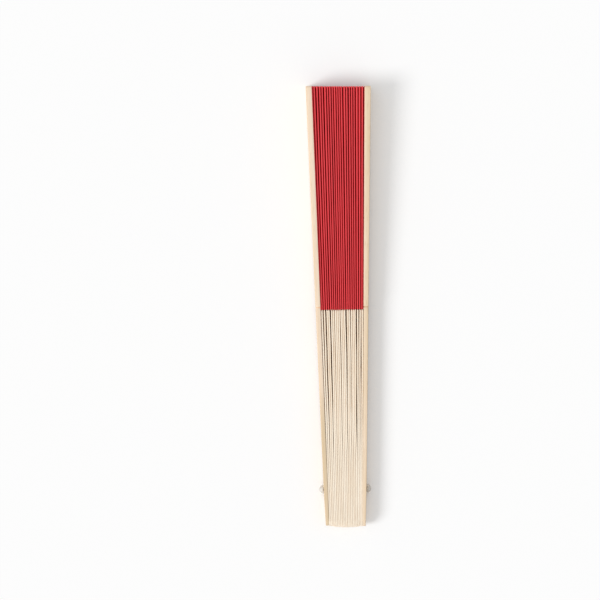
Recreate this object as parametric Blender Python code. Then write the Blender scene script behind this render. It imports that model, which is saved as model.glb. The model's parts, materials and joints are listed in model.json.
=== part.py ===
"""Folding bamboo hand fan, closed and standing on its long edge.

Metres, +Z up, +Y towards the tips, +X along the rivet. Every stick, rib or guard, is modelled on
its own axes: the origin is on the rivet's axis, Y runs along the stick and Z across its width.
"""
from math import atan, cos, pi, sin

import bmesh
import bpy
from mathutils import Matrix

# The sticks
RIB_COUNT = 20
TIP_RADIUS = 0.2095  # rivet axis to the tips
HEEL_RADIUS = 0.0205  # rivet axis to the end of the round heels

# The ribs: split bamboo, wide and thick in the hand, a thin tongue under the leaf
RIB_PIVOT_THICKNESS = 0.00080
RIB_FULL_THICKNESS = 0.00090  # where it is thickest, just below the leaf
RIB_GAP = 0.00010  # between two ribs at the rivet
RIB_HEEL_WIDTH = 0.0082
RIB_SHOULDER_WIDTH = 0.0068
SHOULDER_COVER = 0.0016  # how far the leaf reaches down past the shoulder
SHOULDER_SLOPE = 0.0003
THINNING_START = 0.0034  # below the leaf, where a rib starts to thin
THINNING_END = 0.0003  # below the leaf, where it has its tongue's thickness
TONGUE_THICKNESS = 0.00046
TONGUE_WIDTH = 0.0046
TONGUE_TIP_WIDTH = 0.0032
TONGUE_SETBACK = 0.0040  # from the tips

# The leaf: one pleated sheet of cloth, glued to the sticks
LEAF_INNER_RADIUS = 0.0933
LEAF_SETBACK = 0.0005  # from the tips
LEAF_THICKNESS = 0.00014
LEAF_TIP_WIDTH = 0.0158
GLUE_GAP = 0.00004  # between the cloth and the stick it covers
FOLD_MARGIN = 0.00005  # from a rib's shoulder to the fold round it
PLEAT_PLAY = 0.00026  # between two pleats at the inner edge of the leaf
# How loosely each pleat sits, from the front guard to the back one
PLAY_SHARES = (0.9, 1.2, 1.25, 0.75, 1.5, 0.85, 0.9, 0.75, 1.0, 0.75, 0.75,
               0.8, 1.5, 0.8, 1.15, 0.75, 0.8, 1.5, 1.2, 1.2, 0.8)

# The guards: the two thick outer sticks, which follow the outline of the ribs and the leaf
GUARD_PIVOT_THICKNESS = 0.0020
GUARD_TIP_THICKNESS = 0.0030
GUARD_GAP = 0.00020  # from a guard to the next rib at the rivet
GUARD_LIP = 0.0005  # how far the guards stand proud of the ribs and the leaf
GUARD_CHAMFER = 0.0003
GUARD_TIP_ROUNDING = 0.0012

# The rivet: a plastic pin with a dome on each end
RIVET_RADIUS = 0.0011
RIVET_HOLE_PLAY = 0.0002
RIVET_END_PLAY = 0.00015
DOME_RADIUS = 0.0021
DOME_HEIGHT = 0.0022

CUTTER_OVERRUN = 0.0020

ROUND_STEPS = 24
HEEL_STEPS = 7
FOLD_STEPS = 4
CORNER_STEPS = 3

# What follows from the sizes above
SHOULDER_RADIUS = LEAF_INNER_RADIUS + SHOULDER_COVER
LEAF_RADIUS = TIP_RADIUS - LEAF_SETBACK
FOLD_RADIUS = TONGUE_THICKNESS / 2 + GLUE_GAP + LEAF_THICKNESS / 2
FOLD_OUTSIDE = FOLD_RADIUS + LEAF_THICKNESS / 2
LEAF_INNER_HALF = RIB_SHOULDER_WIDTH / 2 + FOLD_OUTSIDE + FOLD_MARGIN
LEAF_TIP_HALF = LEAF_TIP_WIDTH / 2
HAIRPIN_RADIUS = (GLUE_GAP + LEAF_THICKNESS) / 2
HAIRPIN_CENTRE = GLUE_GAP + LEAF_THICKNESS / 2 + HAIRPIN_RADIUS
PANEL_CENTRE = GLUE_GAP + LEAF_THICKNESS / 2
HOLE_RADIUS = RIVET_RADIUS + RIVET_HOLE_PLAY


def between(y, low, high, at_low, at_high):
    """The value at y of a straight run from at_low, at the place low, to at_high, at high."""
    return at_low + (at_high - at_low) * (y - low) / (high - low)


def rib_half_width(y):
    """Half the width of a rib in the hand, before its heel is rounded."""
    return between(y, -HEEL_RADIUS, SHOULDER_RADIUS, RIB_HEEL_WIDTH / 2, RIB_SHOULDER_WIDTH / 2)


def leaf_half_width(y):
    """Half the width of the folded leaf."""
    return between(y, LEAF_INNER_RADIUS, LEAF_RADIUS, LEAF_INNER_HALF, LEAF_TIP_HALF)


def guard_handle_half_width(y):
    """Half the width of a guard in the hand, before its heel is rounded."""
    return rib_half_width(y) + GUARD_LIP


def guard_blade_half_width(y):
    """Half the width of a guard beside the leaf, before the corners of its tip are rounded."""
    return leaf_half_width(y) + GUARD_LIP


def stick_places():
    """Each stick's place along the rivet and its slope, from the front guard to the back one.

    A guard is placed by its inner face and a rib by its middle. The ribs are close together at
    the rivet, and the folded leaf pushes them apart at its inner edge.
    """
    first_at_pivot = GUARD_GAP + RIB_PIVOT_THICKNESS / 2
    at_pivot = [first_at_pivot] + [RIB_PIVOT_THICKNESS + RIB_GAP] * (RIB_COUNT - 1) + [first_at_pivot]
    hairpin = HAIRPIN_CENTRE + HAIRPIN_RADIUS + LEAF_THICKNESS / 2
    panel = GLUE_GAP + LEAF_THICKNESS
    at_leaf = [hairpin + FOLD_OUTSIDE] + [2 * FOLD_OUTSIDE] * (RIB_COUNT - 1) + [FOLD_OUTSIDE + panel]
    shares = [PLAY_SHARES[n % len(PLAY_SHARES)] for n in range(RIB_COUNT + 1)]
    at_leaf = [bulk + PLEAT_PLAY * share for bulk, share in zip(at_leaf, shares)]
    places = []
    pivot_x = -sum(at_pivot) / 2
    leaf_x = -sum(at_leaf) / 2
    for pivot_step, leaf_step in zip(at_pivot + [0], at_leaf + [0]):
        places.append((pivot_x, (leaf_x - pivot_x) / LEAF_INNER_RADIUS))
        pivot_x += pivot_step
        leaf_x += leaf_step
    return places


def material(name, colour, roughness):
    """A plain finish for one kind of piece."""
    finish = bpy.data.materials.new(name)
    finish.use_nodes = True
    surface = finish.node_tree.nodes["Principled BSDF"]
    surface.inputs["Base Color"].default_value = (*colour, 1)
    surface.inputs["Roughness"].default_value = roughness
    surface.inputs["Metallic"].default_value = 0
    return finish


def new_mesh(name, shape):
    """The finished bmesh as a mesh."""
    mesh = bpy.data.meshes.new(name)
    shape.to_mesh(mesh)
    shape.free()
    return mesh


def loft(name, sections):
    """A solid made by extruding the first section through all the others."""
    shape = bmesh.new()
    end = shape.faces.new([shape.verts.new(point) for point in sections[0]])
    for section in sections[1:]:
        end = bmesh.ops.extrude_discrete_faces(shape, faces=[end])["faces"][0]
        for vertex, point in zip(end.verts, section):
            vertex.co = point
    start = [edge for edge in shape.edges if edge.is_boundary]
    bmesh.ops.edgeloop_fill(shape, edges=start)
    bmesh.ops.recalc_face_normals(shape, faces=shape.faces)
    return new_mesh(name, shape)


def heel_centre(half_width_at):
    """Where a heel's round begins, as far from the rivet as leaves its end at the heel radius."""
    return half_width_at(-HEEL_RADIUS) - HEEL_RADIUS


def heel_stations(half_width_at):
    """(distance from the rivet, half width) round a heel, from its end to where it is full width."""
    centre = heel_centre(half_width_at)
    stations = []
    for step in range(1, HEEL_STEPS + 1):
        angle = pi / 2 * step / HEEL_STEPS
        y = centre - (centre + HEEL_RADIUS) * cos(angle)
        stations.append((y, half_width_at(centre) * sin(angle)))
    return stations


def rib_mesh():
    """A rib: a round heel, a wide lower part, and a thin narrow tongue past the shoulder."""
    thinning_start = LEAF_INNER_RADIUS - THINNING_START
    thinning_end = LEAF_INNER_RADIUS - THINNING_END
    thick = RIB_PIVOT_THICKNESS / 2
    thin = TONGUE_THICKNESS / 2
    stations = [(y, half, thick) for y, half in heel_stations(rib_half_width)]
    stations += [
        (0, rib_half_width(0), thick),
        (thinning_start, rib_half_width(thinning_start), RIB_FULL_THICKNESS / 2),
        (thinning_end, rib_half_width(thinning_end), thin),
        (SHOULDER_RADIUS - SHOULDER_SLOPE, rib_half_width(SHOULDER_RADIUS), thin),
        (SHOULDER_RADIUS, TONGUE_WIDTH / 2, thin),
        (TIP_RADIUS - TONGUE_SETBACK, TONGUE_TIP_WIDTH / 2, thin),
    ]
    corners = ((-1, -1), (1, -1), (1, 1), (-1, 1))
    return loft("rib", [[(side * x, y, up * z) for side, up in corners] for y, z, x in stations])


def guard_mesh():
    """A guard: its inner face is on X = 0, and its thickness grows towards the tip, to -X."""
    corner = TIP_RADIUS - GUARD_TIP_ROUNDING
    stations = heel_stations(guard_handle_half_width)
    stations += [
        (SHOULDER_RADIUS - SHOULDER_SLOPE, guard_handle_half_width(SHOULDER_RADIUS)),
        (SHOULDER_RADIUS, guard_blade_half_width(SHOULDER_RADIUS)),
    ]
    for step in range(CORNER_STEPS + 1):
        angle = pi / 2 * step / CORNER_STEPS
        inset = GUARD_TIP_ROUNDING * (1 - cos(angle))
        stations.append((corner + GUARD_TIP_ROUNDING * sin(angle), guard_blade_half_width(corner) - inset))
    sections = []
    for y, half in stations:
        outer = -between(y, 0, TIP_RADIUS, GUARD_PIVOT_THICKNESS, GUARD_TIP_THICKNESS)
        cut = min(GUARD_CHAMFER, half / 2)
        sections.append([
            (0, y, cut - half), (0, y, half - cut), (-cut, y, half), (outer + cut, y, half),
            (outer, y, half - cut), (outer, y, cut - half), (outer + cut, y, -half), (-cut, y, -half),
        ])
    return loft("guard", sections)


def fold_path(radius, centre_x, inner_half):
    """Points (X, Z) along the middle of the cloth: up one side of a fold, over it and down again."""
    top = inner_half - LEAF_THICKNESS / 2 - radius
    path = [(centre_x - radius, -inner_half)]
    for step in range(2 * FOLD_STEPS + 1):
        angle = pi * step / (2 * FOLD_STEPS)
        path.append((centre_x - radius * cos(angle), top + radius * sin(angle)))
    path.append((centre_x + radius, -inner_half))
    return path


def panel_path(centre_x, inner_half):
    """Points (X, Z) along a flat strip of the cloth."""
    return [(centre_x, -inner_half), (centre_x, inner_half)]


def cloth_mesh(name, path_at):
    """The middle of a stretch of cloth, drawn from the inner edge of the leaf to its outer edge."""
    shape = bmesh.new()
    inner = [shape.verts.new((x, LEAF_INNER_RADIUS, z)) for x, z in path_at(LEAF_INNER_HALF)]
    edges = [shape.edges.new(pair) for pair in zip(inner, inner[1:])]
    grown = bmesh.ops.extrude_edge_only(shape, edges=edges)["geom"]
    outer = [item for item in grown if isinstance(item, bmesh.types.BMVert)]
    outer_path = path_at(LEAF_TIP_HALF)
    for vertex in outer:
        nearest = min(range(len(inner)), key=lambda n: (inner[n].co - vertex.co).length)
        x, z = outer_path[nearest]
        vertex.co = (x, LEAF_RADIUS, z)
    bmesh.ops.recalc_face_normals(shape, faces=shape.faces)
    return new_mesh(name, shape)


def rivet_mesh(half_length):
    """The rivet: a pin with a dome on each end, turned about the X axis."""
    side = [(half_length, RIVET_RADIUS)]
    for step in range(HEEL_STEPS):
        angle = pi / 2 * step / HEEL_STEPS
        side.append((half_length + DOME_HEIGHT * sin(angle), DOME_RADIUS * cos(angle)))
    side.append((half_length + DOME_HEIGHT, 0))
    profile = [(-x, radius) for x, radius in reversed(side)] + side
    shape = bmesh.new()
    line = [shape.verts.new((x, radius, 0)) for x, radius in profile]
    edges = [shape.edges.new(pair) for pair in zip(line, line[1:])]
    bmesh.ops.spin(
        shape, geom=line + edges, cent=(0, 0, 0), axis=(1, 0, 0), angle=2 * pi,
        steps=ROUND_STEPS, use_merge=True,
    )
    bmesh.ops.remove_doubles(shape, verts=shape.verts, dist=RIVET_RADIUS / ROUND_STEPS)
    bmesh.ops.recalc_face_normals(shape, faces=shape.faces)
    return new_mesh("rivet", shape)


def place(name, mesh, parent, finish, location=(0, 0, 0), rotation=(0, 0, 0)):
    """One named piece in the scene, on its parent's axes."""
    piece = bpy.data.objects.new(name, mesh)
    bpy.context.scene.collection.objects.link(piece)
    piece.parent = parent
    piece.location = location
    piece.rotation_euler = rotation
    if not mesh.materials:
        mesh.materials.append(finish)
    return piece


def make_cutter(name, mesh, parent, location=(0, 0, 0), rotation=(0, 0, 0)):
    """A helper shape that only cuts holes in other pieces."""
    cutter = bpy.data.objects.new(name, mesh)
    bpy.context.scene.collection.objects.link(cutter)
    cutter.parent = parent
    cutter.location = location
    cutter.rotation_euler = rotation
    cutter.hide_render = True
    cutter.display_type = "WIRE"
    return cutter


def cut(piece, cutter):
    """Takes the cutter's shape out of the piece."""
    modifier = piece.modifiers.new(cutter.name, "BOOLEAN")
    modifier.operation = "DIFFERENCE"
    modifier.object = cutter


def thicken(piece):
    """Gives cloth its thickness, half on each side of its middle."""
    modifier = piece.modifiers.new("cloth", "SOLIDIFY")
    modifier.thickness = LEAF_THICKNESS
    modifier.offset = 0
    modifier.use_even_offset = True


def hole_mesh(half_length):
    """A round bar along X, wide enough for the rivet to turn in its hole."""
    shape = bmesh.new()
    bmesh.ops.create_cone(
        shape, cap_ends=True, segments=ROUND_STEPS, radius1=HOLE_RADIUS, radius2=HOLE_RADIUS,
        depth=2 * half_length, matrix=Matrix.Rotation(pi / 2, 4, "Y"),
    )
    return new_mesh("hole", shape)


def main():
    for leftover in list(bpy.data.objects):
        bpy.data.objects.remove(leftover)

    bamboo = material("bamboo", (0.85, 0.71, 0.50), 0.6)
    cloth = material("red_cloth", (0.50, 0.03, 0.04), 0.9)
    plastic = material("clear_plastic", (0.80, 0.76, 0.73), 0.3)

    # The closed fan stands on the edges of its guards, on their heels and the corners of their tips
    heel = heel_centre(guard_handle_half_width)
    heel_half = guard_handle_half_width(heel)
    corner = TIP_RADIUS - GUARD_TIP_ROUNDING
    lean = atan((guard_blade_half_width(corner) - heel_half) / (corner - heel))
    pivot = bpy.data.objects.new("rivet_axis", None)
    bpy.context.scene.collection.objects.link(pivot)
    pivot.location.z = heel_half * cos(lean) - heel * sin(lean)
    pivot.rotation_euler.x = lean

    places = stick_places()
    rivet_half_length = places[-1][0] + GUARD_PIVOT_THICKNESS + RIVET_END_PLAY
    hole = make_cutter("rivet_hole", hole_mesh(rivet_half_length + CUTTER_OVERRUN), pivot)

    # Turned half round its length, the same guard faces the other way
    guards = []
    for name, (x, slope), turn in (("guard_front", places[0], 0), ("guard_back", places[-1], pi)):
        guard = place(name, guard_mesh(), pivot, bamboo, (x, 0, 0), (0, turn, -atan(slope)))
        cut(guard, hole)
        guards.append(guard)

    first_fold = cloth_mesh("first_fold", lambda half: fold_path(HAIRPIN_RADIUS, HAIRPIN_CENTRE, half))
    thicken(place("leaf_pleat_00", first_fold, guards[0], cloth))
    rib_shape = rib_mesh()
    fold = cloth_mesh("fold", lambda half: fold_path(FOLD_RADIUS, 0, half))
    for number, (x, slope) in enumerate(places[1:-1], start=1):
        rib = place(f"rib_{number:02d}", rib_shape, pivot, bamboo, (x, 0, 0), (0, 0, -atan(slope)))
        cut(rib, hole)
        thicken(place(f"leaf_pleat_{number:02d}", fold, rib, cloth))
    last_panel = cloth_mesh("last_panel", lambda half: panel_path(PANEL_CENTRE, half))
    thicken(place("leaf_end_panel", last_panel, guards[1], cloth))

    rivet = place("pivot_rivet", rivet_mesh(rivet_half_length), pivot, plastic)
    rivet.data.shade_smooth()
    rivet.data.set_sharp_from_angle(angle=pi / 6)

    # The origin is below the middle of the fan's length
    bpy.context.view_layer.update()
    ends = [(guard.matrix_world @ vertex.co).y for guard in guards for vertex in guard.data.vertices]
    pivot.location.y = -(min(ends) + max(ends)) / 2


main()
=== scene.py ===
import json
from math import asin, atan2, cos, exp, pi, radians, sin

import bmesh
import bpy
from mathutils import Matrix, Vector, noise

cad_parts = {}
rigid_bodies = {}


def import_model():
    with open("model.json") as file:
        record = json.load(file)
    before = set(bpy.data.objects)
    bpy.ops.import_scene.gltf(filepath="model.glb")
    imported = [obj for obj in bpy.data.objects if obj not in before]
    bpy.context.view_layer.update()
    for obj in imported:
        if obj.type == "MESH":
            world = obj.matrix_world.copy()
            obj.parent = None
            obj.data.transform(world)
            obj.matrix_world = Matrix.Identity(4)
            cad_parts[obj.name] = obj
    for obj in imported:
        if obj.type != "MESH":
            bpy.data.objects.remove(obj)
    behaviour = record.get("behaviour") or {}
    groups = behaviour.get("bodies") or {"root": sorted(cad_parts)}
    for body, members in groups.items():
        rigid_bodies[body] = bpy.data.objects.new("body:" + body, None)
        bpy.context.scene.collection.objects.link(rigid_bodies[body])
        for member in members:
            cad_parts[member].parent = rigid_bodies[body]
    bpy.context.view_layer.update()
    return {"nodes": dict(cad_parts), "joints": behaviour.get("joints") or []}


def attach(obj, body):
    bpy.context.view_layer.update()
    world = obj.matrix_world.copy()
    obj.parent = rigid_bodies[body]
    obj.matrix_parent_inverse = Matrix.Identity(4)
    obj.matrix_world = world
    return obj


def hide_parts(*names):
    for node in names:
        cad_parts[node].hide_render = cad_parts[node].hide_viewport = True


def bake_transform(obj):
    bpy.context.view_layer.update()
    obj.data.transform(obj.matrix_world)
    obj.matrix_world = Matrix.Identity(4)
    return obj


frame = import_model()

# The closed fan stands on the long edges of its guards. Its sticks lie side by side on one rivet,
# so each is modelled on the rivet's axes, with X along the rivet, Y along the sticks and Z across
# them, and is then set down at the fan's small lean.
END_DEPTH = 0.0001  # within this depth of a stick's end its corners count as the end's

rivet_place = Vector(frame["joints"][0]["pos_m"])
bodies = [frame["joints"][0]["parent"]] + [joint["child"] for joint in frame["joints"]]
ribs = [f"rib_{number:02d}" for number in range(1, len(bodies) - 1)]


def middle(values):
    """Half way between the lowest and the highest of some values."""
    return (min(values) + max(values)) / 2


rib_points = [vertex.co - rivet_place for vertex in frame["nodes"][ribs[0]].data.vertices]
rib_reach = max(point.y for point in rib_points)
rib_tip = [point for point in rib_points if point.y > rib_reach - END_DEPTH]
lean = atan2(middle([point.z for point in rib_tip]), middle([point.y for point in rib_tip]))
seat = Matrix.Translation(rivet_place) @ Matrix.Rotation(lean, 4, "X")


def stick_line(node, share):
    """(place at the rivet, slope) along a stick, at a share of its thickness from its -X face."""
    corners = [seat.inverted() @ vertex.co for vertex in frame["nodes"][node].data.vertices]
    ends = []
    for reach in (min(point.y for point in corners), max(point.y for point in corners)):
        across = [point.x for point in corners if abs(point.y - reach) < END_DEPTH]
        ends.append((reach, min(across) + share * (max(across) - min(across))))
    (heel, heel_x), (tip, tip_x) = ends
    slope = (tip_x - heel_x) / (tip - heel)
    return heel_x - slope * heel, slope


# A guard is placed by its inner face, a rib by the middle of its thickness
stick_lines = [stick_line("guard_front", 1)] + [stick_line(rib, 0.5) for rib in ribs]
stick_lines.append(stick_line("guard_back", 0))


def line_x(number, y):
    """Where a stick's line is along X at y, counted from guard_front."""
    place, slope = stick_lines[number]
    return place + slope * y


def between(y, low, high, at_low, at_high):
    """The value at y of a straight run from at_low, at the place low, to at_high, at high."""
    return at_low + (at_high - at_low) * (y - low) / (high - low)


# The ribs are twenty laths of split bamboo, sawn and sanded, with a round heel and a wide flat
# handle. Past a shoulder each goes on as a narrow tongue inside a fold of the leaf, and it is
# thinned there to make room for the cloth.
HEEL_RADIUS = 0.0205  # from the rivet, as every place along the sticks is
TIP_RADIUS = 0.2095
LEAF_INNER = 0.0933
SHOULDER = LEAF_INNER + 0.0016
SHOULDER_SLOPE = 0.0003
RIB_HEEL_WIDTH = 0.0088
RIB_SHOULDER_WIDTH = 0.0068
RIB_HEEL_THICKNESS = 0.00079
RIB_PIVOT_THICKNESS = 0.00084
RIB_FULL_THICKNESS = 0.00082
THINNING_START = LEAF_INNER - 0.0006
THINNING_END = LEAF_INNER - 0.0001
TONGUE_THICKNESS = 0.00038
TONGUE_WIDTH = 0.0046
TONGUE_TIP_WIDTH = 0.0032
TONGUE_END = TIP_RADIUS - 0.0040
RIB_EASING = 0.00010
EASING_STEPS = 2
SHARP_ANGLE = radians(50)  # edges with a sharper bend than this are rounded
SMOOTH_ANGLE = radians(40)  # edges with a lesser bend than this are shaded smooth
STATION_STEP = 0.0025
HEEL_STATIONS = 9
HEEL_STAGGER = 0.00025
HEEL_TRIM = 0.0004
HEEL_BULGE = 0.0012  # how much sooner a heel ends that lies BUNDLE_HALF from HEEL_MIDDLE
HEEL_MIDDLE = 0.0015
BUNDLE_HALF = 0.0112
WIDTH_STAGGER = 0.00010

# The play between the sticks: each gap's part in it, from guard_front on, from where on the gaps
# have these parts, and how much and over what length a gap changes on its way out
PLAY_SHARES = (1.2, 1.4, 2.3, 0.3, 2.4, 0.4, 0.8, 0.3, 0.4, 1.0, 0.3,
               0.3, 2.2, 0.3, 1.2, 0.4, 0.3, 2.3, 1.1, 1.6, 0.8)
PLAY_START = 0.014
PLAY_END = 0.028
PLAY_CHANGE_SHARE = 0.7
PLAY_LENGTH = 0.026

# Where the painted shade on the corners, faded round the rivet, comes back in full, and how much it is
# faded there
CORNER_SHADE_START = 0.024
CORNER_SHADE_END = 0.045
CORNER_SHADE_FADING = 2.5

# Each kind of unevenness reads one plane of the noise, and each stick its own stretch of that plane
NOISE_SPREAD = 9.7
NOISE_PLANES = {
    "gap": 0, "heel": 1, "lower edge": 1, "upper edge": 3, "crest height": 5, "crest wave": 6,
    "crest sway": 7, "crest pinch": 8, "crest side": 10, "cut edge": 11, "crest breadth": 12,
}


def unevenness(kind, number, along=0):
    """How uneven a stick or its cloth is, from -1 to 1, at a place counted in wave lengths."""
    return noise.noise(Vector((number * NOISE_SPREAD, along, NOISE_PLANES[kind])))


def rib_half_width(y):
    """Half the width of a rib's handle, before its heel is rounded."""
    return between(y, -HEEL_RADIUS, SHOULDER, RIB_HEEL_WIDTH / 2, RIB_SHOULDER_WIDTH / 2)


def rib_thickness(y):
    """A rib's thickness: it is thinnest at the heel in the hand, and is thinned just below the leaf."""
    if y < 0:
        return between(y, -HEEL_RADIUS, 0, RIB_HEEL_THICKNESS, RIB_PIVOT_THICKNESS)
    if y < THINNING_START:
        return between(y, 0, THINNING_START, RIB_PIVOT_THICKNESS, RIB_FULL_THICKNESS)
    if y < THINNING_END:
        return between(y, THINNING_START, THINNING_END, RIB_FULL_THICKNESS, TONGUE_THICKNESS)
    return TONGUE_THICKNESS


def rounded_heel(half_width_at, heel):
    """(Y, share of the width) of the stations round a heel, from its end to its full width."""
    centre = half_width_at(heel) + heel
    stations = []
    for step in range(1, HEEL_STATIONS + 1):
        angle = pi / 2 * step / HEEL_STATIONS
        stations.append((centre - (centre - heel) * cos(angle), sin(angle)))
    return stations


def heel_end(x, number):
    """Y of a heel's end: the bundle's end is sanded to a slight bulge, and no two heels end alike."""
    bulge = HEEL_BULGE * ((x - HEEL_MIDDLE) / BUNDLE_HALF) ** 2
    return bulge + HEEL_TRIM - HEEL_RADIUS + HEEL_STAGGER * unevenness("heel", number)


def even_stations(low, high):
    """Places from low to high, both left out, no further apart than the station step."""
    count = int((high - low) / STATION_STEP) + 1
    return [low + (high - low) * step / count for step in range(1, count)]


def smooth(place, start, end):
    """0 as far as the start, 1 from the end on, and a smooth rise between them."""
    share = min(max((place - start) / (end - start), 0), 1)
    return share * share * (3 - 2 * share)


def rib_middles(reach):
    """The ribs' middles along X at a distance from the rivet.

    The rivet holds the ribs evenly. Further out the play that they leave is shared out unevenly
    among the gaps, because split bamboo is never straight. The leaf draws each tongue to its line.
    """
    loosened = smooth(reach, PLAY_START, PLAY_END)
    drawn = smooth(reach, THINNING_START, THINNING_END)
    thickness = rib_thickness(reach)
    gaps = []
    for number, share in enumerate(PLAY_SHARES):
        change = PLAY_CHANGE_SHARE * unevenness("gap", number, reach / PLAY_LENGTH)
        gaps.append(share ** loosened * exp(loosened * change))
    play = line_x(len(ribs) + 1, reach) - line_x(0, reach) - thickness * len(ribs)
    places = []
    x = line_x(0, reach) - thickness / 2
    for number, gap in enumerate(gaps[:-1], start=1):
        x += gap * play / sum(gaps) + thickness
        places.append(x + (line_x(number, reach) - x) * drawn)
    return places


def bamboo_bar(stations, cuts_across):
    """A unit block with sections evenly spaced along Y, and cuts across Z, still to be shaped.

    The edges that are cut are those as long as the block.
    """
    bar = bmesh.new()
    bmesh.ops.create_cube(bar, size=1)
    for axis, cuts in ((1, stations - 2), (2, cuts_across)):
        if cuts:
            lengths = [(edge, (edge.verts[0].co - edge.verts[1].co)[axis]) for edge in bar.edges]
            along = [edge for edge, length in lengths if abs(length) > 0.5]
            bmesh.ops.subdivide_edges(bar, edges=along, cuts=cuts, use_grid_fill=True)
    return bar


def sharp_edges(bar):
    """The edges of a bar that are still to be rounded."""
    bar.normal_update()
    return [edge for edge in bar.edges if edge.calc_face_angle(0) > SHARP_ANGLE]


def ease(bar, edges, width, steps):
    """Rounds some edges of a bar, as sanding does."""
    bmesh.ops.bevel(
        bar, geom=edges, offset=width, offset_type="OFFSET", affect="EDGES", segments=steps,
        profile=0.5, material=-1, clamp_overlap=True,
    )
    bar.normal_update()


def add_piece(name, shape, finish):
    """A bmesh on the rivet's axes as a piece set down in the fan."""
    shape.transform(seat)
    mesh = bpy.data.meshes.new(name)
    shape.to_mesh(mesh)
    shape.free()
    mesh.materials.append(finish)
    mesh.shade_smooth()
    mesh.set_sharp_from_angle(angle=SMOOTH_ANGLE)
    piece = bpy.data.objects.new(name, mesh)
    bpy.context.scene.collection.objects.link(piece)
    return piece


def linear(value):
    """A colour written as sRGB hex, as the linear colour that shaders take."""
    channels = [int(value[place:place + 2], 16) / 255 for place in (1, 3, 5)]
    return tuple(c / 12.92 if c <= 0.04045 else ((c + 0.055) / 1.055) ** 2.4 for c in channels) + (1,)


def add_node(tree, kind, inputs=None, **settings):
    """A shader node with its settings; an input, by name or number, takes a value or a link."""
    node = tree.nodes.new(kind)
    for name, value in settings.items():
        setattr(node, name, value)
    for key, value in (inputs or {}).items():
        if isinstance(value, bpy.types.NodeSocket):
            tree.links.new(value, node.inputs[key])
        else:
            node.inputs[key].default_value = value
    return node


def new_finish(name):
    """A material whose nodes start from its Principled shader."""
    finish = bpy.data.materials.new(name)
    finish.use_nodes = True
    return finish, finish.node_tree, finish.node_tree.nodes["Principled BSDF"]


def set_ramp(node, stops):
    """The places and colours of a colour ramp."""
    ramp = node.color_ramp
    while len(ramp.elements) < len(stops):
        ramp.elements.new(1)
    for element, (place, colour) in zip(ramp.elements, stops):
        element.position = place
        element.color = linear(colour)


# Split bamboo, sanded and not varnished: pale and dull, with straight fibres a few tenths of a
# millimetre wide that show as fine streaks, and each lath a little lighter or darker than the next
LATH_SPACING = 0.0011
LATH_LENGTH = 0.060
FIBRE_WIDTH = 0.00022
FIBRE_LENGTH = 0.016
BUNDLE_WIDTH = 0.00035
BUNDLE_LENGTH = 0.009
FIBRE_RELIEF = 0.00006
ROUGHNESS_CHANGE = 0.07


def bamboo_finish(name, pale, deep, fibre, roughness):
    """Bamboo cut along its fibres: its pale and deep colours, its dark fibres, and its colour output."""
    finish, tree, surface = new_finish(name)
    place = add_node(tree, "ShaderNodeTexCoord").outputs["Object"]

    def streaks(width, length, detail):
        """Noise drawn out along the fibres."""
        size = (1 / width, 1 / length, 1 / width)
        spot = add_node(tree, "ShaderNodeMapping", {"Vector": place, "Scale": size}).outputs[0]
        inputs = {"Vector": spot, "Scale": 1, "Detail": detail, "Roughness": 0.55}
        return add_node(tree, "ShaderNodeTexNoise", inputs).outputs["Fac"]

    lath = streaks(LATH_SPACING, LATH_LENGTH, 1)
    fine = streaks(FIBRE_WIDTH, FIBRE_LENGTH, 3)
    bundle = streaks(BUNDLE_WIDTH, BUNDLE_LENGTH, 2)
    tone = add_node(tree, "ShaderNodeMix", {"Factor": 0.5, "A": lath, "B": fine}).outputs[0]
    body = add_node(tree, "ShaderNodeValToRGB", {"Fac": tone})
    set_ramp(body, ((0.36, pale), (0.66, deep)))
    inputs = {"Value": bundle, "From Min": 0.60, "From Max": 0.78, "To Max": 0.55}
    dark = add_node(tree, "ShaderNodeMapRange", inputs).outputs[0]
    inputs = {0: dark, 6: body.outputs[0], 7: linear(fibre)}
    colour = add_node(tree, "ShaderNodeMix", inputs, data_type="RGBA").outputs[2]
    inputs = {"Height": fine, "Strength": 0.4, "Distance": FIBRE_RELIEF}
    relief = add_node(tree, "ShaderNodeBump", inputs).outputs[0]
    low, high = roughness - ROUGHNESS_CHANGE, roughness + ROUGHNESS_CHANGE
    inputs = {"Value": fine, "To Min": low, "To Max": high}
    rough = add_node(tree, "ShaderNodeMapRange", inputs).outputs[0]
    tree.links.new(colour, surface.inputs["Base Color"])
    tree.links.new(relief, surface.inputs["Normal"])
    tree.links.new(rough, surface.inputs["Roughness"])
    surface.inputs["Specular IOR Level"].default_value = 0.35
    return finish, tree, colour


# One drill for the rivet's holes, which leave the rivet room to turn
HOLE_RADIUS = 0.0013
DRILL_REACH = 0.020
ROUND_STEPS = 48
bit = bmesh.new()
bmesh.ops.create_cone(
    bit, cap_ends=True, segments=ROUND_STEPS, radius1=HOLE_RADIUS, radius2=HOLE_RADIUS,
    depth=2 * DRILL_REACH, matrix=seat @ Matrix.Rotation(pi / 2, 4, "Y"),
)
bit_mesh = bpy.data.meshes.new("drill")
bit.to_mesh(bit_mesh)
bit.free()
drill = bpy.data.objects.new("drill", bit_mesh)
bpy.context.scene.collection.objects.link(drill)


def drilled(piece):
    """The same piece with the rivet's hole cut into its mesh."""
    hole = piece.modifiers.new("rivet_hole", "BOOLEAN")
    hole.object = drill
    hole.operation = "DIFFERENCE"
    graph = bpy.context.evaluated_depsgraph_get()
    mesh = bpy.data.meshes.new_from_object(piece.evaluated_get(graph))
    piece.modifiers.clear()
    piece.data = mesh
    return piece


rib_bamboo, tree, wood = bamboo_finish("split_bamboo", "#FFF3E0", "#F2DFC6", "#BFA07A", 0.62)
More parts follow.
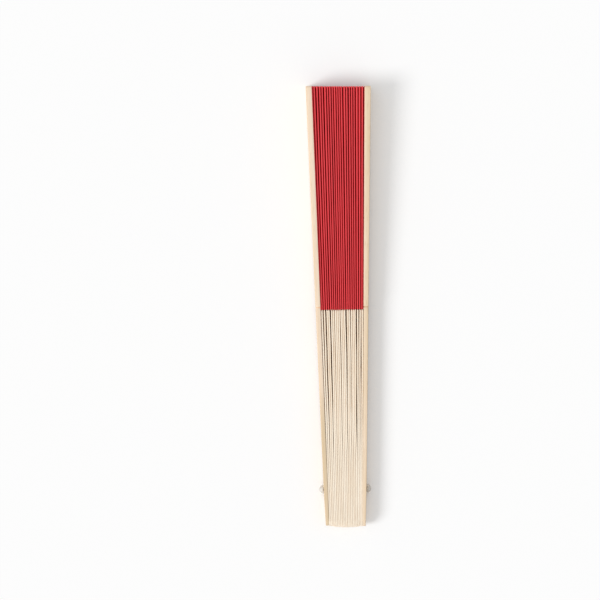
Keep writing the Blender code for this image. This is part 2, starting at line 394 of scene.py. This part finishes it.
# The broad sides of a lath face the chinks between the sticks. They are tanner than its split edges,
# partly the bamboo's own rind and pith and partly painted shade that browns the chinks, and the
# corners between them are painted brownest, as painted shade in the grooves between the sticks
broad_gap_shade = add_node(tree, "ShaderNodeAttribute", attribute_name="broad_side_gap_shade").outputs["Fac"]
tan = add_node(tree, "ShaderNodeValToRGB", {"Fac": broad_gap_shade})
set_ramp(tan, ((0.35, "#FFFFFF"), (0.62, "#C8935A"), (1.0, "#EBD2AA")))
inputs = {0: 1, 6: wood, 7: tan.outputs[0]}
sided = add_node(tree, "ShaderNodeMix", inputs, data_type="RGBA", blend_type="MULTIPLY").outputs[2]
tree.links.new(sided, tree.nodes["Principled BSDF"].inputs["Base Color"])

for number, rib in enumerate(ribs, start=1):
    heel = heel_end(line_x(number, 0), number)
    stations = [(y, share * rib_half_width(y)) for y, share in rounded_heel(rib_half_width, heel)]
    for y in even_stations(stations[-1][0], THINNING_START) + [THINNING_START, THINNING_END]:
        stations.append((y, rib_half_width(y)))
    stations.append((SHOULDER - SHOULDER_SLOPE, rib_half_width(SHOULDER)))
    stations.append((SHOULDER, TONGUE_WIDTH / 2))
    for y in even_stations(SHOULDER, TONGUE_END) + [TONGUE_END]:
        half = between(y, SHOULDER, TONGUE_END, TONGUE_WIDTH / 2, TONGUE_TIP_WIDTH / 2)
        stations.append((y, half))
    bar = bamboo_bar(len(stations), 0)
    for vertex in bar.verts:
        y, half = stations[round((vertex.co.y + 0.5) * (len(stations) - 1))]
        x = rib_middles(y)[number - 1] + vertex.co.x * rib_thickness(y)
        side, edge = (1, "upper edge") if vertex.co.z > 0 else (-1, "lower edge")
        wave = WIDTH_STAGGER * unevenness(edge, number, y / PLAY_LENGTH)
        vertex.co = (x, y, side * (half + wave))
    ease(bar, sharp_edges(bar), RIB_EASING, EASING_STEPS)
    layer = bar.verts.layers.float.new("broad_side_gap_shade")
    # Round the rivet the painted shade on the corners is faded, so the grooves there are paler
    for vertex in bar.verts:
        corner_shade_faded = 1 - smooth(vertex.co.y, CORNER_SHADE_START, CORNER_SHADE_END)
        vertex[layer] = abs(vertex.normal.x) ** (1 + CORNER_SHADE_FADING * corner_shade_faded)
    piece = drilled(add_piece(f"bamboo_{rib}", bar, rib_bamboo))
    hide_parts(rib)
    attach(piece, bodies[number])

# The guards are the two outer sticks, thick slats with the bamboo's tan skin left on outside. They
# follow the outline of the ribs and the leaf, stand a little proud of both, and step up to the
# leaf's width at a shoulder. Their edges are sanded round.
LEAF_OUTER = TIP_RADIUS - 0.0005
LEAF_INNER_HALF = 0.00395
LEAF_TIP_HALF = 0.0081
GUARD_END = TIP_RADIUS - 0.0003
TRIM_SLOPE = 0.018
GUARD_HEEL_THICKNESS = 0.0016
GUARD_PIVOT_THICKNESS = 0.0020
FRONT_TIP_THICKNESS = 0.0030
BACK_TIP_THICKNESS = 0.0033
GUARD_HEEL_WIDTH = 0.0092
GUARD_SHOULDER_WIDTH = 0.0078
GUARD_BLADE_WIDTH = 0.00872
GUARD_TIP_WIDTH = 0.0168
GUARD_TIP_ROUNDING = 0.0012
GUARD_CROWN = 0.00022
OUTER_EASING = 0.00035
OUTER_EASING_STEPS = 4
INNER_EASING = 0.00012
CROWN_CUTS = 3
CORNER_STATIONS = 5
SKIN_DEPTH = 0.0004
NOTCH_DEPTH = 0.0006
NOTCH_LENGTH = 0.0004
TAN_START = 0.028
TAN_END = 0.062
FRONT_TAN_SHARES = (0.85, 0.0)  # before the start and past the end
BACK_TAN_SHARES = (0.35, 0.55)


def leaf_half_width(y):
    """Half the width of the folded leaf."""
    return between(y, LEAF_INNER, LEAF_OUTER, LEAF_INNER_HALF, LEAF_TIP_HALF)


def guard_half_width(y):
    """Half the width of a guard, before its heel and its corners are rounded."""
    if y < SHOULDER:
        return between(y, -HEEL_RADIUS, SHOULDER, GUARD_HEEL_WIDTH / 2, GUARD_SHOULDER_WIDTH / 2)
    return between(y, LEAF_INNER, LEAF_OUTER, GUARD_BLADE_WIDTH / 2, GUARD_TIP_WIDTH / 2)


def guard_thickness(number, y):
    """A guard's thickness: it thins towards the heel, and the two slats are not split quite alike."""
    if y < 0:
        return between(y, -HEEL_RADIUS, 0, GUARD_HEEL_THICKNESS, GUARD_PIVOT_THICKNESS)
    at_tip = BACK_TIP_THICKNESS if number else FRONT_TIP_THICKNESS
    return between(y, 0, TIP_RADIUS, GUARD_PIVOT_THICKNESS, at_tip)


def askew(x):
    """How much further than at the middle the fan's outer end reaches at x: it is trimmed askew."""
    return -TRIM_SLOPE * x


def guard_stations(heel, tip):
    """(Y, half the width) of the sections of a guard, from its round heel to its rounded corners."""
    stations = [(y, share * guard_half_width(y)) for y, share in rounded_heel(guard_half_width, heel)]
    notch = SHOULDER - SHOULDER_SLOPE
    for y in even_stations(stations[-1][0], notch - NOTCH_LENGTH) + [notch - NOTCH_LENGTH]:
        stations.append((y, guard_half_width(y)))
    stations.append((notch, guard_half_width(notch) - NOTCH_DEPTH))
    corner = tip - GUARD_TIP_ROUNDING
    for y in [SHOULDER] + even_stations(SHOULDER, corner):
        stations.append((y, guard_half_width(y)))
    for step in range(CORNER_STATIONS + 1):
        angle = pi / 2 * step / CORNER_STATIONS
        inset = GUARD_TIP_ROUNDING * (1 - cos(angle))
        stations.append((corner + GUARD_TIP_ROUNDING * sin(angle), guard_half_width(corner) - inset))
    return stations


# The slats are smoother than the ribs. Their outer side keeps its tan skin, and the front one is
# tan in the hand and pale at its tip, the back one a little tan all along.
guard_bamboo, tree, wood = bamboo_finish("bamboo_slat", "#FAE5D0", "#F0DABF", "#C9A67A", 0.52)
for layer_name, tint in (("skin", "#EBDABB"), ("tan", "#E7E4D4")):
    share = add_node(tree, "ShaderNodeAttribute", attribute_name=layer_name).outputs["Fac"]
    inputs = {0: share, 6: wood, 7: linear(tint)}
    wood = add_node(tree, "ShaderNodeMix", inputs, data_type="RGBA", blend_type="MULTIPLY").outputs[2]
tree.links.new(wood, tree.nodes["Principled BSDF"].inputs["Base Color"])

for guard, number, out, tan_shares in (
        ("guard_front", 0, -1, FRONT_TAN_SHARES), ("guard_back", len(ribs) + 1, 1, BACK_TAN_SHARES)):
    tip = GUARD_END + askew(line_x(number, GUARD_END))
    stations = guard_stations(heel_end(line_x(number, 0), number), tip)
    bar = bamboo_bar(len(stations), CROWN_CUTS)
    for vertex in bar.verts:
        y, half = stations[round((vertex.co.y + 0.5) * (len(stations) - 1))]
        x = line_x(number, y)
        if vertex.co.x * out > 0:
            x += out * (guard_thickness(number, y) - GUARD_CROWN * (2 * vertex.co.z) ** 2)
        vertex.co = (x, y, 2 * vertex.co.z * half)
    outer = [edge for edge in sharp_edges(bar)
             if all(abs(vert.co.x - line_x(number, vert.co.y)) > INNER_EASING for vert in edge.verts)]
    ease(bar, outer, OUTER_EASING, OUTER_EASING_STEPS)
    ease(bar, sharp_edges(bar), INNER_EASING, EASING_STEPS)
    skin_layer = bar.verts.layers.float.new("skin")
    tan_layer = bar.verts.layers.float.new("tan")
    for vertex in bar.verts:
        depth = guard_thickness(number, vertex.co.y) - abs(vertex.co.x - line_x(number, vertex.co.y))
        vertex[skin_layer] = 1 - smooth(depth, 0, SKIN_DEPTH)
        vertex[tan_layer] = between(smooth(vertex.co.y, TAN_START, TAN_END), 0, 1, *tan_shares)
    piece = drilled(add_piece(f"bamboo_{guard}", bar, guard_bamboo))
    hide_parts(guard)
    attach(piece, bodies[number])
bpy.data.objects.remove(drill)

# The rivet is one moulded pin of clear plastic, pushed through every stick, with a domed head on
# each end. It is cloudy, so its heads look grey white.
RIVET_RADIUS = 0.0011
RIVET_END_PLAY = 0.00015
DOME_RADIUS = 0.0021
DOME_RIM = 0.00045
DOME_HEIGHT = 0.0022
RIM_ROUNDING = 0.00012
DOME_STEPS = 12
MERGE_DISTANCE = RIM_ROUNDING / 10
CLOUD_SIZE = 0.0012
SCATTER_REACH = (0.0012, 0.0011, 0.0010)

clear_plastic, tree, surface = new_finish("cloudy_polypropylene")
place = add_node(tree, "ShaderNodeTexCoord").outputs["Object"]
clouds = add_node(tree, "ShaderNodeTexNoise", {"Vector": place, "Scale": 1 / CLOUD_SIZE, "Detail": 2})
tint = add_node(tree, "ShaderNodeValToRGB", {"Fac": clouds.outputs["Fac"]})
set_ramp(tint, ((0.35, "#F3EFE8"), (0.70, "#E4DDD4")))
tree.links.new(tint.outputs[0], surface.inputs["Base Color"])
surface.inputs["Roughness"].default_value = 0.28
surface.inputs["IOR"].default_value = 1.49
surface.inputs["Transmission Weight"].default_value = 0.30
surface.inputs["Subsurface Weight"].default_value = 0.25
surface.inputs["Subsurface Radius"].default_value = SCATTER_REACH

head_x = line_x(len(ribs) + 1, 0) + GUARD_PIVOT_THICKNESS + RIVET_END_PLAY
half_outline = [
    (head_x, RIVET_RADIUS),
    (head_x, DOME_RADIUS - RIM_ROUNDING),
    (head_x + RIM_ROUNDING, DOME_RADIUS),
]
for step in range(DOME_STEPS):
    angle = pi / 2 * step / DOME_STEPS
    rise = DOME_RIM + (DOME_HEIGHT - DOME_RIM) * sin(angle)
    half_outline.append((head_x + rise, DOME_RADIUS * cos(angle)))
half_outline.append((head_x + DOME_HEIGHT, 0))
rivet = bmesh.new()
line = [rivet.verts.new((-x, radius, 0)) for x, radius in reversed(half_outline)]
line += [rivet.verts.new((x, radius, 0)) for x, radius in half_outline]
profile = [rivet.edges.new(pair) for pair in zip(line, line[1:])]
bmesh.ops.spin(
    rivet, geom=line + profile, cent=(0, 0, 0), axis=(1, 0, 0), angle=2 * pi, steps=ROUND_STEPS,
    use_merge=True,
)
bmesh.ops.remove_doubles(rivet, verts=rivet.verts, dist=MERGE_DISTANCE)
bmesh.ops.recalc_face_normals(rivet, faces=rivet.faces)
piece = add_piece("plastic_rivet", rivet, clear_plastic)
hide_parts("pivot_rivet")
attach(piece, bodies[0])

# The leaf is one sheet of plain-woven red cotton, cut as part of a ring and pressed into 42 panels.
# Each rib's tongue is glued inside a fold, with a crest over it, and the end panels are glued to the
# guards. A stretch runs from a crest down a free panel, round a valley and up to the next crest.
CLOTH = 0.00014
GLUE_GAP = 0.00004
PANEL_CENTRE = GLUE_GAP + CLOTH / 2
GLUED_HALF = TONGUE_THICKNESS / 2 + PANEL_CENTRE
VALLEY_WIDTH = CLOTH + GLUE_GAP
CREST_HEIGHT = 0.0008

# The hairpin beside guard_front: how wide it is, how far across it its top lies, and its rise
HAIRPIN_WIDTH = 0.00036
HAIRPIN_LEAN_SHARE = 0.3
HAIRPIN_RISE = 0.00016

# Half the width of a crest whose sticks lie a pitch apart, how much it changes from crest to crest
# and along each, and how much of a wider pitch it takes up
FOLD_HALF = 0.00030
FOLD_CHANGE = 0.00012
FOLD_PITCH = 0.0010
FOLD_GROWTH_SHARE = 0.6

# The most that a crest lies too low, how much of that is usual and how much differs, and how far
# past the shoulder this sets in. Then how much a crest waves, sways and is pinched, over what
# lengths, and how fast the pinch fades down the panel.
CREST_DROP = 0.0007
DROP_MEAN_SHARE = 0.35
DROP_CHANGE_SHARE = 0.9
CREST_SETTLING = 0.020
CREST_WAVE = 0.0002
CREST_WAVE_LENGTH = 0.022
CREST_SWAY = 0.00006
SWAY_LENGTH = 0.030
PINCH = 0.00006
PINCH_FADE = 12

# The cut edges: how ragged the inner one is and over how many columns, how far in the outer one
# springs open and how much of its room it fills, and how wide the cut is. Then how far down from
# its top a crest carries a painted highlight.
EDGE_RAGGEDNESS = 0.0003
RAGGED_COLUMNS = 3
EDGE_FLARE = 0.0012
FLARE_SHARE = 0.9
CUT_WIDTH = 0.00018
HIGHLIGHT_DEPTH = 0.0004

# The rows and columns of the cloth's mesh, and about what a stretch takes up of the flat ring
ROW_STEP = 0.0016
FLARE_ROW_SHARES = (0.8, 0.6, 0.4)
CREST_COLUMNS = 4
FREE_COLUMNS = 14
VALLEY_COLUMNS = 6
GLUED_COLUMNS = 14
STRETCH_ANGLE = radians(9)


def crest_top(number, y):
    """The height of the crest over a stick: no two pleats are folded quite alike.

    Beside the guards the cloth comes all the way up, and the hairpin comes as high as its guard.
    """
    rise = CREST_WAVE * unevenness("crest wave", number, y / CREST_WAVE_LENGTH)
    if number == 0:
        rise += HAIRPIN_RISE
    elif number <= len(ribs):
        drop_share = DROP_MEAN_SHARE + DROP_CHANGE_SHARE * unevenness("crest height", number)
        rise -= CREST_DROP * min(max(drop_share, 0), 1)
    return leaf_half_width(y) + rise * smooth(y, SHOULDER, SHOULDER + CREST_SETTLING)


def sway(number, y):
    """How far the top of a crest wanders to one side of its stick."""
    return CREST_SWAY * unevenness("crest sway", number, y / SWAY_LENGTH)


def pinch(number, y):
    """How much more tightly than usual a crest is pressed, on the side where the cloth is free."""
    return PINCH * (1 + unevenness("crest pinch", number, y / SWAY_LENGTH)) / 2


def unfolding(share):
    """Where between two sticks a share of the free panel lies.

    A blend turns cloth by the curve of smooth, and this is that curve's inverse, so that the panel
    opens evenly.
    """
    return 0.5 - sin(asin(1 - 2 * share) / 3)


def stretch_limits(number, y):
    """X at y where a stretch leaves its first stick and where it moves with the next one."""
    from_stick = FOLD_HALF if number else PANEL_CENTRE + HAIRPIN_WIDTH
    to_stick = GLUED_HALF if number < len(ribs) else PANEL_CENTRE
    spread = line_x(number + 1, LEAF_INNER) - line_x(number, LEAF_INNER)
    leaving = line_x(number, y) + from_stick
    return leaving, leaving + spread - from_stick - to_stick - VALLEY_WIDTH


def crest_back(number, y, room):
    """Half the width of a crest on its glued side: the further apart the sticks, the rounder it is.

    The cut edge springs open to fill the room.
    """
    change = unevenness("crest side", number, y / SWAY_LENGTH) + unevenness("crest breadth", number)
    growth = FOLD_GROWTH_SHARE * (line_x(number, y) - line_x(number - 1, y) - FOLD_PITCH)
    half = min(FOLD_HALF + FOLD_CHANGE * change + growth, room)
    flare = FLARE_SHARE * smooth(y, LEAF_OUTER - EDGE_FLARE, LEAF_OUTER)
    return half + (room - half) * flare


def quarter(x, top, reach, steps):
    """Points (X, Z) of half a crest, a quarter oval from its top at x to its side, reach away."""
    angles = [pi / 2 * step / steps for step in range(steps)]
    return [(x + reach * sin(angle), top - CREST_HEIGHT * (1 - cos(angle))) for angle in angles]


def hairpin(y, leaving):
    """Points (X, Z) of the first panel: up the guard's inner face and over in a hairpin beside it."""
    bottom, top = -leaf_half_width(y), crest_top(0, y)
    panel = line_x(0, y) + PANEL_CENTRE
    apex = between(HAIRPIN_LEAN_SHARE, 0, 1, panel, leaving)
    path = [(panel, between(step, 0, GLUED_COLUMNS, bottom, top - CREST_HEIGHT))
            for step in range(GLUED_COLUMNS)]
    path += reversed(quarter(apex, top, panel - apex, CREST_COLUMNS + 1)[1:])
    return path + quarter(apex, top, leaving - apex, CREST_COLUMNS)


def glued_panel(number, y, reaching):
    """Points (X, Z) from the valley before a stick to its crest.

    The cloth closes in on the stick, is glued to it, and fills out again towards the crest.
    """
    line, top = line_x(number, y), crest_top(number, y)
    low = VALLEY_WIDTH / 2 - leaf_half_width(y)
    room = line - reaching - VALLEY_WIDTH
    if number <= len(ribs):
        shoulder, glued_half = top - CREST_HEIGHT, GLUED_HALF
        back = crest_back(number, y, room + VALLEY_WIDTH)
        apex = line + sway(number, y)
        crest = list(reversed(quarter(apex, top, line - back - apex, CREST_COLUMNS)))
    else:
        shoulder, glued_half = top, PANEL_CENTRE
        back = PANEL_CENTRE
        crest = []
    glued_reach = between(y, SHOULDER, TONGUE_END, TONGUE_WIDTH / 2, TONGUE_TIP_WIDTH / 2)
    path = []
    for step in range(GLUED_COLUMNS + 1):
        z = between(step, 0, GLUED_COLUMNS, low, shoulder)
        closing = smooth(-z, glued_reach, leaf_half_width(y))
        rising = smooth(z, glued_reach, shoulder)
        half = glued_half + (room - glued_half) * closing + (back - glued_half) * rising
        path.append((line - half, z))
    return path + crest


def stretch_path(number, y):
    """Points (X, Z) along the middle of the cloth from stick to stick, at y."""
    leaving, reaching = stretch_limits(number, y)
    low = VALLEY_WIDTH / 2 - leaf_half_width(y)
    top = crest_top(number, y)
    if number:
        apex = line_x(number, y) + sway(number, y)
        tight = pinch(number, y)
        path = quarter(apex, top, leaving - tight - apex, CREST_COLUMNS)
    else:
        tight = 0
        path = hairpin(y, leaving)
    for step in range(FREE_COLUMNS):
        share = step / FREE_COLUMNS
        x = leaving + (reaching - leaving) * unfolding(share) - tight * (1 - share) ** PINCH_FADE
        path.append((x, between(share, 0, 1, top - CREST_HEIGHT, low)))
    for step in range(VALLEY_COLUMNS):
        angle = pi * step / VALLEY_COLUMNS
        path.append((
            reaching + VALLEY_WIDTH / 2 * (1 - cos(angle)), low - VALLEY_WIDTH / 2 * sin(angle)))
    return path + glued_panel(number + 1, y, reaching)


def path_lengths(path):
    """How far each point of a path is from its start, along the cloth."""
    lengths = [0]
    for (x, z), (next_x, next_z) in zip(path, path[1:]):
        lengths.append(lengths[-1] + ((next_x - x) ** 2 + (next_z - z) ** 2) ** 0.5)
    return lengths


# Plain-woven cotton, dyed right through: a deep red, threads about a third of a millimetre apart. It
# has painted shade in the hollows of its weave and a painted highlight along the tops of its crests,
# and it is paler where the cut threads fray.
THREAD_SPACING = 0.00036
THREAD_RELIEF = 0.00004
DYE_PATCH = 0.006
WAVE_UNIT = pi / 10  # one band of a wave texture at a scale of 1, here a thread over and one under

cotton, tree, surface = new_finish("woven_cotton")
flat_place = add_node(tree, "ShaderNodeUVMap", uv_map="flat_cloth").outputs[0]
waves = []
for direction in ("X", "Y"):
    inputs = {"Vector": flat_place, "Scale": WAVE_UNIT / (2 * THREAD_SPACING), "Distortion": 0.4}
    waves.append(add_node(
        tree, "ShaderNodeTexWave", inputs, wave_type="BANDS", bands_direction=direction,
        wave_profile="SIN",
    ).outputs["Fac"])
weave = add_node(
    tree, "ShaderNodeMath", {0: waves[0], 1: waves[1]}, operation="MULTIPLY").outputs[0]
inputs = {"Vector": flat_place, "Scale": 1 / DYE_PATCH, "Detail": 3, "Roughness": 0.6}
patches = add_node(tree, "ShaderNodeTexNoise", inputs).outputs["Fac"]
dyed = add_node(tree, "ShaderNodeValToRGB", {"Fac": patches})
set_ramp(dyed, ((0.35, "#D8121E"), (0.65, "#DE1723")))
# Painted shade: the hollows of the weave are darkened towards a deeper red
inputs = {"Value": weave, "To Min": 0.18, "To Max": 0.0}
weave_hollow_shade = add_node(tree, "ShaderNodeMapRange", inputs).outputs[0]
inputs = {0: weave_hollow_shade, 6: dyed.outputs[0], 7: linear("#A80A14")}
threads = add_node(tree, "ShaderNodeMix", inputs, data_type="RGBA").outputs[2]
# Painted highlight: the tops of the crests, where the light falls, are paler and pinker
crest_light = add_node(tree, "ShaderNodeAttribute", attribute_name="crest_highlight").outputs["Fac"]
inputs = {0: crest_light, 6: threads, 7: linear("#EA565B")}
highlighted = add_node(tree, "ShaderNodeMix", inputs, data_type="RGBA").outputs[2]
cut = add_node(tree, "ShaderNodeAttribute", attribute_name="cut_edge").outputs["Fac"]
inputs = {0: cut, 6: highlighted, 7: linear("#E4686B")}
red = add_node(tree, "ShaderNodeMix", inputs, data_type="RGBA").outputs[2]
inputs = {"Height": weave, "Strength": 0.5, "Distance": THREAD_RELIEF}
relief = add_node(tree, "ShaderNodeBump", inputs).outputs[0]
tree.links.new(red, surface.inputs["Base Color"])
tree.links.new(relief, surface.inputs["Normal"])
surface.inputs["Roughness"].default_value = 0.85
surface.inputs["Specular IOR Level"].default_value = 0.04
surface.inputs["Sheen Weight"].default_value = 0.02
surface.inputs["Sheen Roughness"].default_value = 0.5
surface.inputs["Sheen Tint"].default_value = linear("#FF8A84")

leaf_depth = LEAF_OUTER - LEAF_INNER
row_count = int(leaf_depth / ROW_STEP)
row_shares = [0, CUT_WIDTH / leaf_depth] + [n / row_count for n in range(1, row_count)]
row_shares += [1 - EDGE_FLARE * share / leaf_depth for share in FLARE_ROW_SHARES]
row_shares += [1 - CUT_WIDTH / leaf_depth, 1]


def leaf_stretch(number):
    """The cloth from a stick to the next: its rows lie across the pleats, its columns along them.

    Its UV map is the place of each point in the flat ring, and two attributes say where the cloth
    is cut and where the tops of its crests carry a painted highlight.
    """
    columns = len(stretch_path(number, LEAF_INNER))
    cloth = bmesh.new()
    bmesh.ops.create_grid(cloth, x_segments=columns - 1, y_segments=len(row_shares) - 1, size=1)
    edge_layer = cloth.verts.layers.float.new("cut_edge")
    highlight_layer = cloth.verts.layers.float.new("crest_highlight")
    places = {}
    first_x = line_x(number, LEAF_OUTER)
    last_x = line_x(number + 1, LEAF_OUTER)
    for vertex in cloth.verts:
        column = round((vertex.co.x + 1) / 2 * (columns - 1))
        row = round((vertex.co.y + 1) / 2 * (len(row_shares) - 1))
        ragged = EDGE_RAGGEDNESS * unevenness("cut edge", number, column / RAGGED_COLUMNS)
        inner = LEAF_INNER + ragged
        outer = LEAF_OUTER + askew(between(column, 0, columns - 1, first_x, last_x))
        y = inner + (outer - inner) * row_shares[row]
        path = stretch_path(number, y)
        x, z = path[column]
        vertex.co = (x, y, z)
        turn = path_lengths(path)[column] / y + (number - len(ribs) / 2) * STRETCH_ANGLE
        places[vertex] = (y * sin(turn), y * cos(turn))
        vertex[edge_layer] = 1 if row in (0, len(row_shares) - 1) else 0
        crest = crest_top(number if column <= columns // 2 else number + 1, y)
        # painted highlight on the top of each crest
        vertex[highlight_layer] = smooth(z, crest - HIGHLIGHT_DEPTH, crest)
    flat_layer = cloth.loops.layers.uv.new("flat_cloth")
    for face in cloth.faces:
        for loop in face.loops:
            loop[flat_layer].uv = places[loop.vert]
    return cloth


for number in range(len(ribs) + 1):
    piece = add_piece(f"leaf_{number:02d}", leaf_stretch(number), cotton)
    thickness = piece.modifiers.new("cloth", "SOLIDIFY")
    thickness.thickness = CLOTH
    thickness.offset = 0
    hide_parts(f"leaf_pleat_{number:02d}")
    if number == len(ribs):
        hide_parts("leaf_end_panel")
    inner_length = path_lengths(stretch_path(number, LEAF_INNER))[-1]
    outer_length = path_lengths(stretch_path(number, LEAF_OUTER))[-1]
    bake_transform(piece)

# The fan stands on plain white paper under one large soft lamp from the lower left, with light
# from all round. What the camera sees of floor and background is nearly white.
FLOOR_SIZE = 6.0
FLOOR_GAP = 0.0001
CAMERA_WHITE = 0.40
OPEN_REACH = 0.012  # the floor is in shade where less than LIT_SHARE of this reach is open
DARK_SHARE = 0.1
LIT_SHARE = 0.5
OPEN_SAMPLES = 8
SUN_HEIGHT = radians(42)
SUN_TURN = radians(-72)
SUN_SOFTNESS = radians(24)
SUN_STRENGTH = 2.12
WORLD_STRENGTH = 0.55

floor_shape = bmesh.new()
bmesh.ops.create_grid(floor_shape, x_segments=1, y_segments=1, size=FLOOR_SIZE / 2)
bmesh.ops.translate(floor_shape, verts=floor_shape.verts, vec=(0, 0, -FLOOR_GAP))
floor_mesh = bpy.data.meshes.new("floor")
floor_shape.to_mesh(floor_mesh)
floor_shape.free()
floor = bpy.data.objects.new("floor", floor_mesh)
bpy.context.scene.collection.objects.link(floor)


def seen_rays(tree):
    """1 for the rays that show the camera something, straight, mirrored or through plastic, else 0."""
    rays = add_node(tree, "ShaderNodeLightPath").outputs
    seen = rays["Is Camera Ray"]
    for kind in ("Is Glossy Ray", "Is Transmission Ray"):
        inputs = {0: seen, 1: rays[kind]}
        seen = add_node(tree, "ShaderNodeMath", inputs, operation="MAXIMUM").outputs[0]
    return seen


paper, tree, surface = new_finish("white_paper")
surface.inputs["Roughness"].default_value = 0.9
surface.inputs["Specular IOR Level"].default_value = 0
inputs = {0: seen_rays(tree), 1: CAMERA_WHITE}
share = add_node(tree, "ShaderNodeMath", inputs, operation="MULTIPLY").outputs[0]
# Close to the fan the floor is left in the shade, and under it and in the chinks between its
# sticks the paper's colour is painted brown, as painted shade as brown as the wood around it
inputs = {"Distance": OPEN_REACH}
occlusion = add_node(tree, "ShaderNodeAmbientOcclusion", inputs, samples=OPEN_SAMPLES)
open_air = occlusion.outputs["AO"]
inputs = {"Value": open_air, "From Min": DARK_SHARE, "From Max": LIT_SHARE}
lit = add_node(tree, "ShaderNodeMapRange", inputs).outputs[0]
inputs = {0: lit, 6: linear("#85582E"), 7: linear("#FBFBFB")}
painted_shade_paper = add_node(tree, "ShaderNodeMix", inputs, data_type="RGBA").outputs[2]
tree.links.new(painted_shade_paper, surface.inputs["Base Color"])
for dimmer in (open_air, lit):
    share = add_node(tree, "ShaderNodeMath", {0: share, 1: dimmer}, operation="MULTIPLY").outputs[0]
white = add_node(tree, "ShaderNodeEmission").outputs[0]
inputs = {0: share, 1: surface.outputs[0], 2: white}
shown = add_node(tree, "ShaderNodeMixShader", inputs).outputs[0]
tree.links.new(shown, tree.nodes["Material Output"].inputs[0])
floor_mesh.materials.append(paper)

world = bpy.data.worlds.new("studio")
bpy.context.scene.world = world
world.use_nodes = True
tree = world.node_tree
inputs = {"Value": seen_rays(tree), "To Min": WORLD_STRENGTH}
strength = add_node(tree, "ShaderNodeMapRange", inputs)
background = tree.nodes["Background"]
background.inputs["Color"].default_value = (1, 1, 1, 1)
tree.links.new(strength.outputs[0], background.inputs["Strength"])

sun_data = bpy.data.lights.new("key", "SUN")
sun_data.energy = SUN_STRENGTH
sun_data.angle = SUN_SOFTNESS
sun = bpy.data.objects.new("key", sun_data)
bpy.context.scene.collection.objects.link(sun)
tilt = Matrix.Rotation(pi / 2 - SUN_HEIGHT, 4, "X")
sun.rotation_euler = (Matrix.Rotation(SUN_TURN, 4, "Z") @ tilt).to_euler()

# The camera looks straight down. The fan lies right of the middle of the picture and its tips lean
# a little to the left.
PICTURE_SIZE = 600
FAN_MIDDLE = (342.0, 307.0)  # in pixels from the picture's upper left corner
PIXEL = 0.0005183  # what a pixel shows at EDGE_HEIGHT above the floor
EDGE_HEIGHT = 0.0125
CAMERA_DISTANCE = 2.4
FAN_TURN = radians(1.04)

camera_data = bpy.data.cameras.new("camera")
camera = bpy.data.objects.new("camera", camera_data)
bpy.context.scene.collection.objects.link(camera)
bpy.context.scene.camera = camera
camera_data.lens = camera_data.sensor_width * CAMERA_DISTANCE / (PICTURE_SIZE * PIXEL)
turned = Matrix.Rotation(-FAN_TURN, 4, "Z")
shift = Vector((PICTURE_SIZE / 2 - FAN_MIDDLE[0], FAN_MIDDLE[1] - PICTURE_SIZE / 2, 0)) * PIXEL
height = Vector((0, 0, EDGE_HEIGHT + CAMERA_DISTANCE))
camera.location = turned @ shift + height
camera.rotation_euler = (0, 0, -FAN_TURN)

bpy.context.scene.view_settings.view_transform = "Standard"
